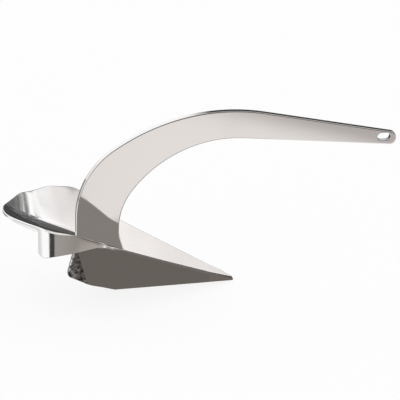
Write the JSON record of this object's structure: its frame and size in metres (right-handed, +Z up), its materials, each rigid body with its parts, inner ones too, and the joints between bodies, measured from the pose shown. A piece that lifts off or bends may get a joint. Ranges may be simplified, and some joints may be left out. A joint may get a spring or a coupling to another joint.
{
  "type": "scoop anchor",
  "caption": "Polished scoop anchor: a dished fluke with turned-down wings on a hollow V keel, and a one-piece bowed shank with a shackle slot.",
  "frame": {"origin": "middle of the keel's flat underside, on the anchor's mirror plane", "axes": "+X from the heel towards the fluke's point and the shackle end, +Y to the left wing, +Z up"},
  "size_m": [0.715, 0.2752, 0.325],
  "materials": {
    "polished_steel": "mirror-polished marine stainless steel",
    "ballast_lead": "dull cast lead, sealed inside the keel"
  },
  "bodies": {
    "root": {"shank": "polished_steel", "scoop_plate": "polished_steel", "keel_plate_left": "polished_steel", "keel_plate_right": "polished_steel", "nose_point": "polished_steel", "ballast_left": "ballast_lead", "ballast_right": "ballast_lead", "ballast_cover_left": "polished_steel", "ballast_cover_right": "polished_steel"}
  },
  "joints": []
}
